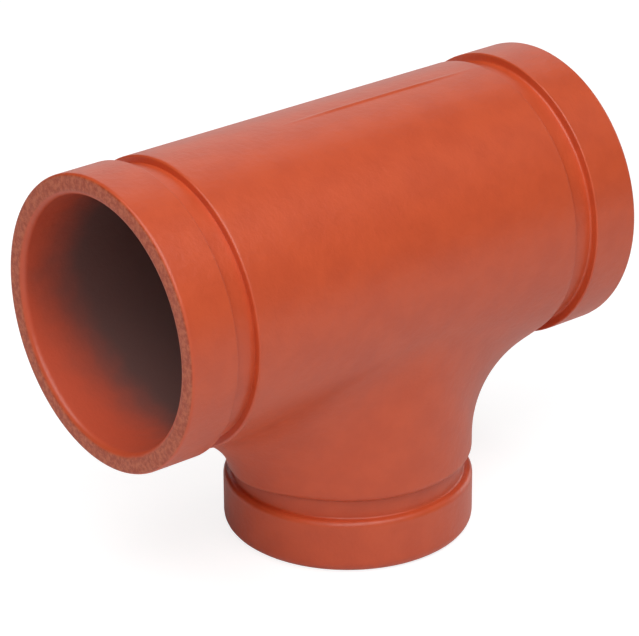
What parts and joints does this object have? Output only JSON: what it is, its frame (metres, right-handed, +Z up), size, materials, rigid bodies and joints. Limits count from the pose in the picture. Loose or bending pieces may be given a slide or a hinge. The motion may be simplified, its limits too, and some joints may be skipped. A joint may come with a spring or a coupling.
{
  "type": "grooved reducing tee",
  "caption": "Cast iron pipe tee in orange enamel, with grooved ends on a wide run and a narrower branch that stands off the run's middle.",
  "frame": {"origin": "centre of the branch's end face, which the tee stands on", "axes": "+X along the run towards its short arm, +Z up along the branch's axis from its end face to the run"},
  "size_m": [0.1682, 0.0888, 0.1359],
  "materials": {
    "enamel": "satin enamel paint"
  },
  "bodies": {
    "root": {"tee_casting": "enamel"}
  },
  "joints": []
}
